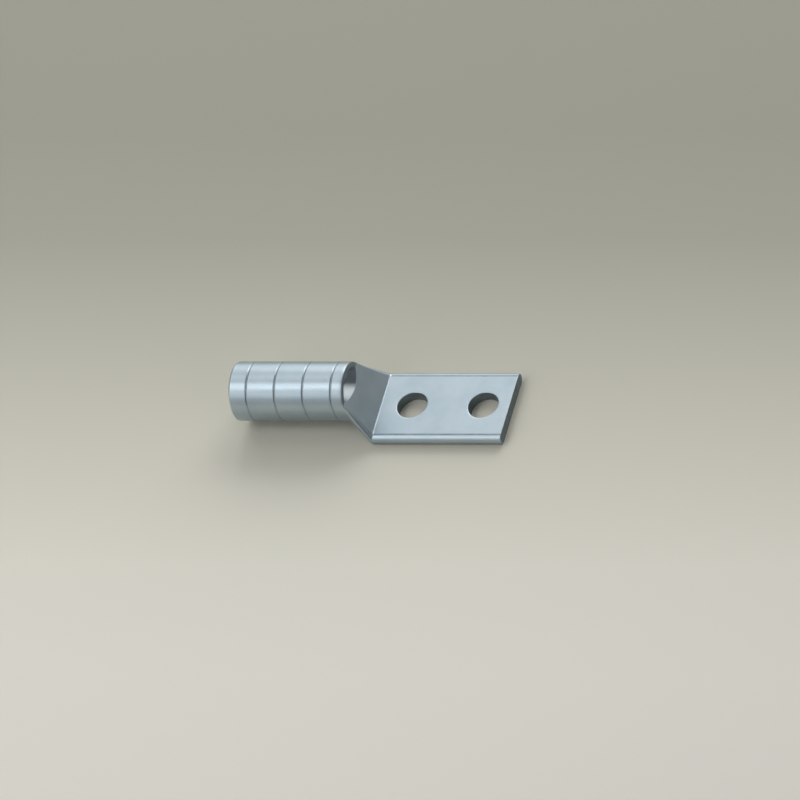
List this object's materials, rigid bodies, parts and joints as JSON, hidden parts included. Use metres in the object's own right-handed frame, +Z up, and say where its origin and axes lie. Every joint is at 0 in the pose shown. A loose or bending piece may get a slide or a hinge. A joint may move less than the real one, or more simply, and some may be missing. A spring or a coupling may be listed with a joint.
{
  "type": "two-hole compression lug",
  "caption": "Cable lug with a round crimp barrel, ring marks, a sloping shoulder open above to show the conductor, and a flat pad punched for bolts.",
  "frame": {"origin": "on the pad's underside, midway between the two bolt holes", "axes": "+X along the lug from the cable barrel to the pad's tip, +Z up out of the face that is bolted down, +Y across the pad"},
  "size_m": [0.0944, 0.0286, 0.0212],
  "materials": {
    "tinned_copper": "satin electro-tinned copper, cool silver, with crisp sheared edges"
  },
  "bodies": {
    "root": {"lug": "tinned_copper"}
  },
  "joints": []
}
